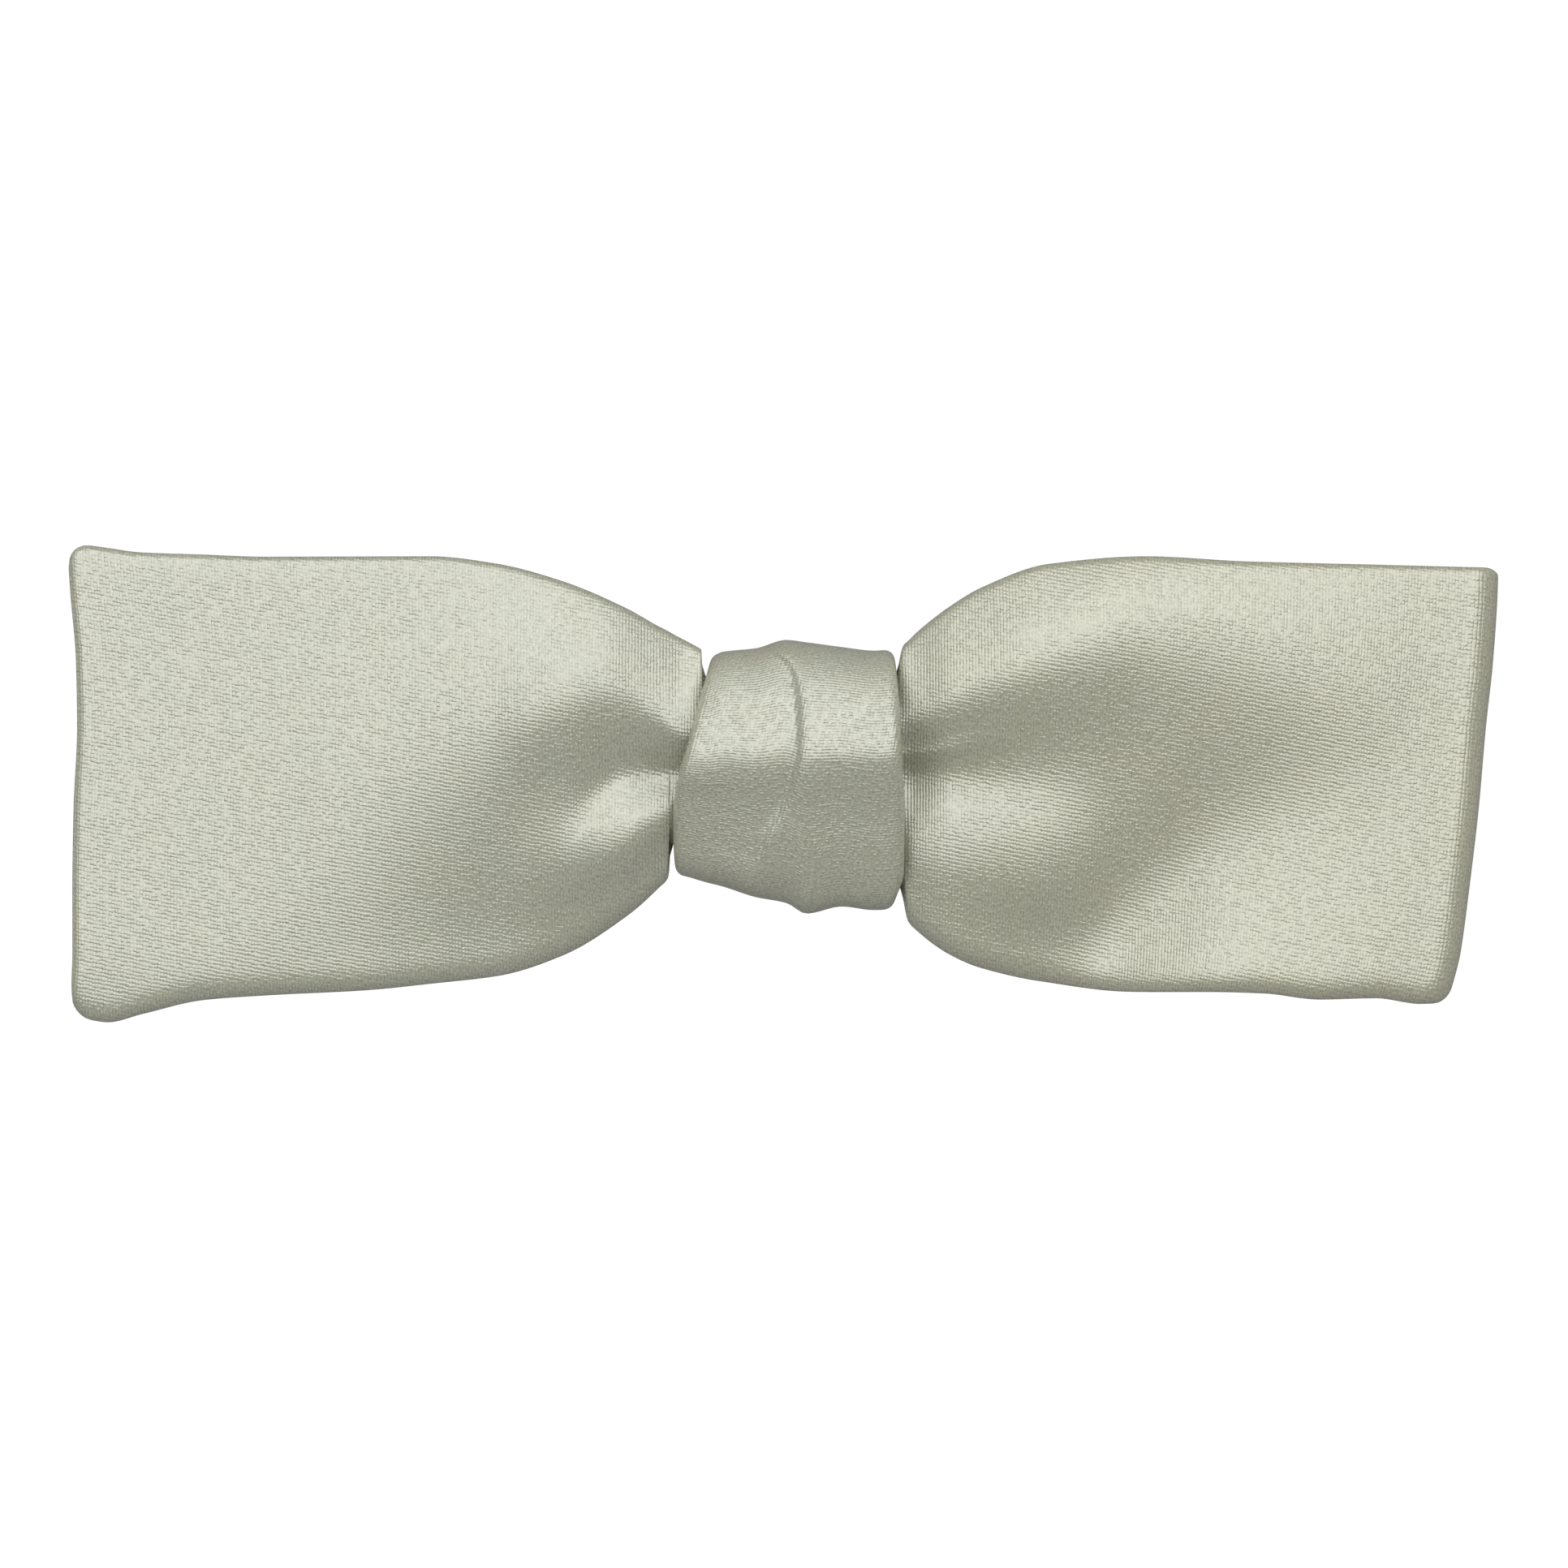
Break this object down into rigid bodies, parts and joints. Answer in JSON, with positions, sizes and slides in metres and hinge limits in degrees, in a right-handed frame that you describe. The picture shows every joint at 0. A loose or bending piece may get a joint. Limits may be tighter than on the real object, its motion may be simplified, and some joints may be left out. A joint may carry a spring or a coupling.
{
  "type": "pre-tied bow tie",
  "caption": "Slim pre-tied clip-on bow tie in ivory satin, straight ends, wings pinched into soft folds under a lapped centre knot.",
  "frame": {"origin": "centre of the bounding box in X and Y, at the height of the clip's flat back that the bow tie rests on", "axes": "+X along the wings towards the folded end, +Y up the height of the bow as worn, +Z out of the front of the knot"},
  "size_m": [0.1203, 0.0401, 0.0161],
  "materials": {
    "satin": "ivory satin weave with a soft sheen",
    "clip_metal": "plain nickel-plated spring steel"
  },
  "bodies": {
    "root": {"bow_band": "satin", "knot_wrap": "satin", "collar_clip": "clip_metal"}
  },
  "joints": []
}
